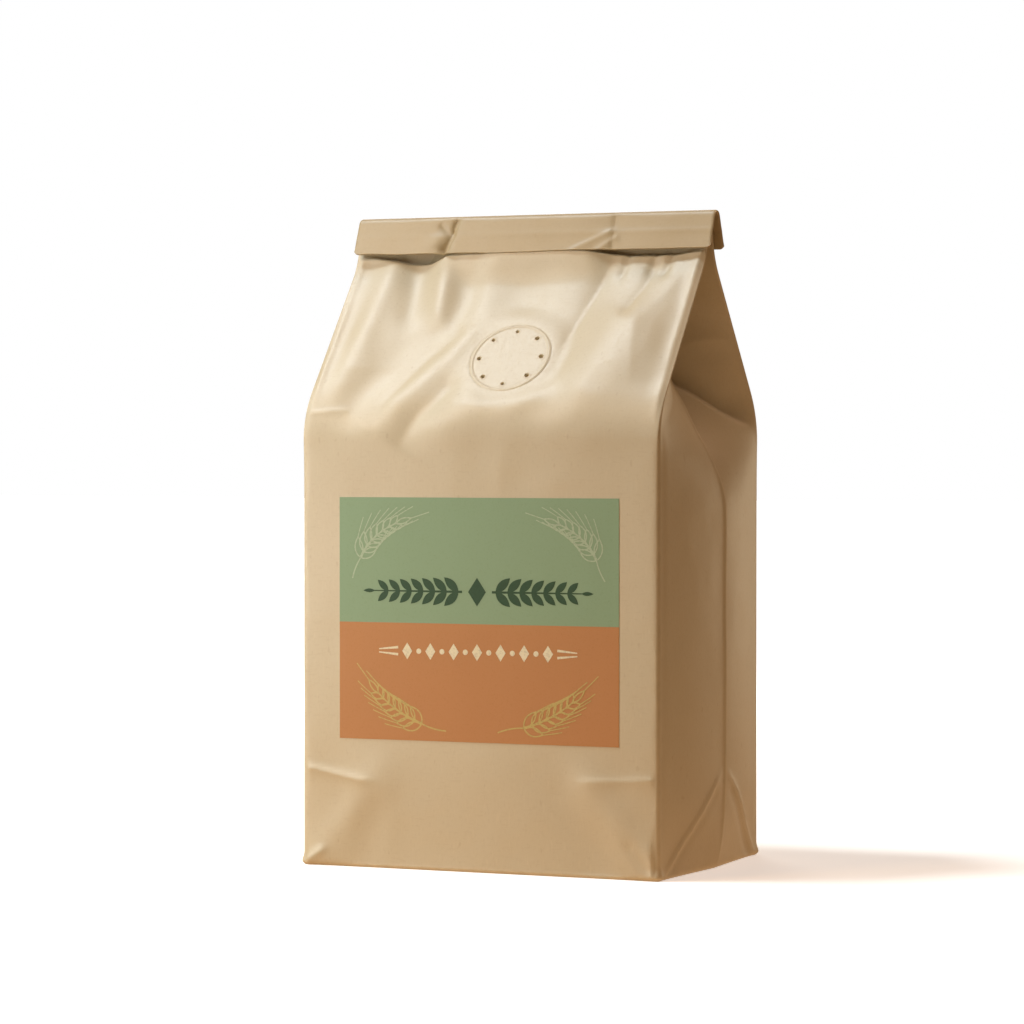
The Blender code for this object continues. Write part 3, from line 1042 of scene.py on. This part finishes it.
def make_floor():
    """A pale floor that glows. The glow the camera sees is painted light, dimmer near the bag and brightest
    far off; other rays see a darker, warmer floor whose glow throws weak warm light at the bag, more of it
    from close by.
    """
    mesh = bpy.data.meshes.new("floor")
    corners = [(x * FLOOR_HALF, y * FLOOR_HALF, 0) for x, y in ((-1, -1), (1, -1), (1, 1), (-1, 1))]
    mesh.from_pydata(corners, [], [(0, 1, 2, 3)])
    floor = bpy.data.objects.new("floor", mesh)
    bpy.context.scene.collection.objects.link(floor)
    pale = Material("pale_floor")
    seen = pale.nodes.new("ShaderNodeLightPath").outputs["Is Camera Ray"]
    ground = pale.mix((0.36, 0.235, 0.135, 1.0), (0.84, 0.83, 0.81, 1.0), seen)
    pale.set(base_color=ground, roughness=0.9)
    across = pale.nodes.new("ShaderNodeVectorMath")
    across.operation = "LENGTH"
    pale.links.new(pale.place, across.inputs[0])
    far = pale.ramp(across.outputs["Value"], 0.15, 0.9)
    # the floor's glow for the camera is painted light: weak near the bag and full white far off, so the
    # floor looks evenly pale
    white = pale.mix((0.42, 0.416, 0.408, 1.0), (1.0, 1.0, 1.0, 1.0), far)
    near = pale.ramp(across.outputs["Value"], 0.12, 0.26, 1.0, 0.0)
    warm = pale.mix((0.12, 0.074, 0.038, 1.0), (0.50, 0.325, 0.185, 1.0), near)
    glow = pale.mix(warm, white, seen)
    pale.links.new(glow, pale.shader.inputs["Emission Color"])
    pale.shader.inputs["Emission Strength"].default_value = 1.0
    mesh.materials.append(pale.made)


def aimed(name, lamp, place):
    """A lamp at a place, turned to face the bag's middle."""
    made = bpy.data.objects.new(name, lamp)
    bpy.context.scene.collection.objects.link(made)
    made.location = place
    made.rotation_mode = "QUATERNION"
    made.rotation_quaternion = (Vector((0.0, 0.0, 0.11)) - Vector(place)).to_track_quat("-Z", "Y")


def sun(name, place, spread, power, tone):
    lamp = bpy.data.lights.new(name, "SUN")
    lamp.angle = math.radians(spread)
    lamp.energy = power
    lamp.color = tone
    aimed(name, lamp, place)


def softbox(name, place, size, power, tone):
    lamp = bpy.data.lights.new(name, "AREA")
    lamp.shape = "DISK"
    lamp.size = size
    lamp.energy = power
    lamp.color = tone
    aimed(name, lamp, place)


def make_studio():
    """Cool light from the upper left, a lower lamp close by, a rim from behind and warm light all round."""
    world = bpy.data.worlds.new("soft_room")
    world.use_nodes = True
    nodes, links = world.node_tree.nodes, world.node_tree.links
    room = nodes["Background"]
    room.inputs["Color"].default_value = (1.0, 0.68, 0.42, 1.0)
    room.inputs["Strength"].default_value = 0.035
    backdrop = nodes.new("ShaderNodeBackground")
    backdrop.inputs["Color"].default_value = (1.0, 1.0, 1.0, 1.0)
    seen = nodes.new("ShaderNodeLightPath")
    choose = nodes.new("ShaderNodeMixShader")
    links.new(seen.outputs["Is Camera Ray"], choose.inputs[0])
    links.new(room.outputs[0], choose.inputs[1])
    links.new(backdrop.outputs[0], choose.inputs[2])
    links.new(choose.outputs[0], nodes["World Output"].inputs["Surface"])
    bpy.context.scene.world = world
    bpy.context.scene.view_settings.view_transform = "Standard"
    sun("top", (-0.38, -0.14, 0.90), 11.0, 1.78, (0.86, 0.95, 1.0))
    softbox("key", (-0.27, -0.27, 0.36), 0.13, 0.57, (0.88, 0.96, 1.0))
    softbox("side", (-0.21, -0.23, 0.10), 0.11, 0.27, (1.0, 1.0, 0.93))
    softbox("rim", (0.26, 0.90, 0.10), 0.25, 0.57, (1.0, 0.86, 0.60))
    softbox("fill", (0.34, 0.30, 1.0), 0.45, 3.7, (1.0, 0.66, 0.46))
    softbox("warm", (-0.30, -0.52, 0.62), 0.22, 1.38, (1.0, 0.61, 0.30))
    softbox("back", (-0.45, 0.80, 0.50), 0.45, 2.2, (1.0, 0.97, 0.92))



CAMERA_PLACE = (0.4791, -1.0889, 0.1296)
CAMERA_DOWN = 0.943  # degrees below level
CAMERA_TURN = 24.07  # degrees to the right of the front
CAMERA_LENS = 132.2  # millimetres


def make_camera():
    """A long lens from the front right, almost level with the bag's middle."""
    lens = bpy.data.cameras.new("camera")
    lens.sensor_width = 36.0
    lens.lens = CAMERA_LENS
    lens.clip_end = 50.0
    camera = bpy.data.objects.new("camera", lens)
    bpy.context.scene.collection.objects.link(camera)
    camera.location = CAMERA_PLACE
    camera.rotation_euler = (math.radians(90 - CAMERA_DOWN), 0.0, math.radians(CAMERA_TURN))
    bpy.context.scene.camera = camera


make_floor()
make_studio()
make_camera()
